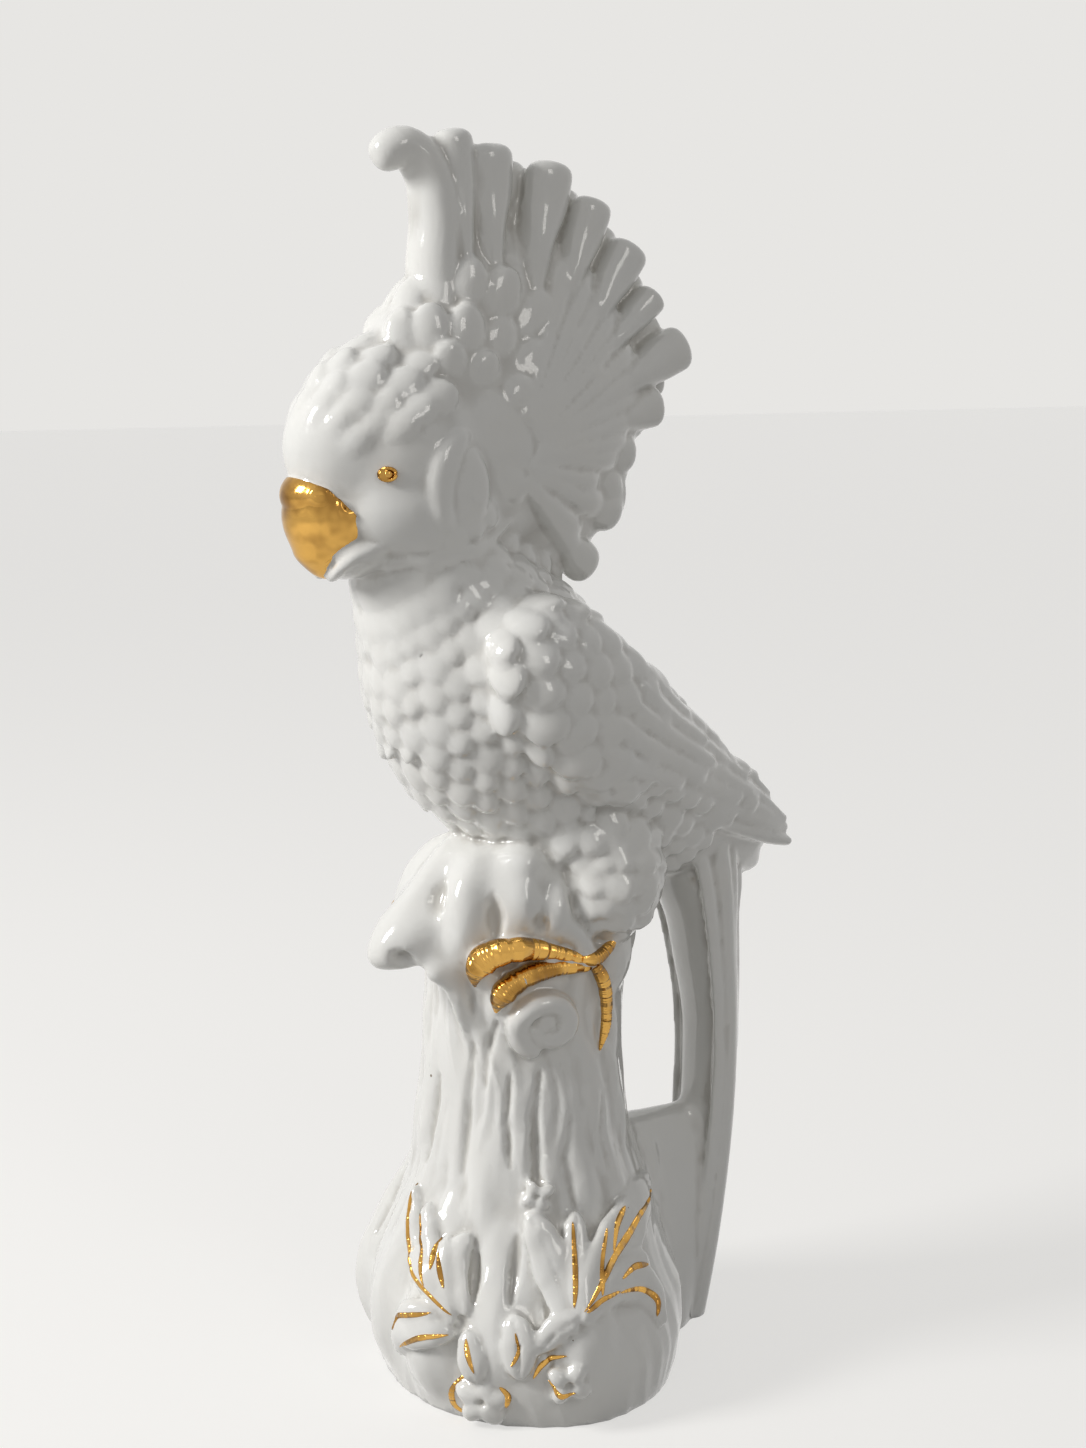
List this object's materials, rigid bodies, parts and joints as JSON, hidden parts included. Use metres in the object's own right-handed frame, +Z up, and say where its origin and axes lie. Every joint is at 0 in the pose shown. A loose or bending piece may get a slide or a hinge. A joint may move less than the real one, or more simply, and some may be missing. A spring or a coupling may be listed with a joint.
{
  "type": "parrot figurine",
  "caption": "White glazed porcelain cockatoo with raised crest, perched on a tree stump with moulded leaves and flowers, with gilt lines; one cast piece on a flat foot.",
  "frame": {"origin": "under the middle of the stump, on the flat underside", "axes": "+Z up, the bird faces -Y and its left side is +X"},
  "size_m": [0.1106, 0.1684, 0.3538],
  "materials": {
    "porcelain": "glossy white glaze",
    "gilding": "fired gold lustre, brushed on"
  },
  "bodies": {
    "root": {"figurine": "porcelain"}
  },
  "joints": []
}
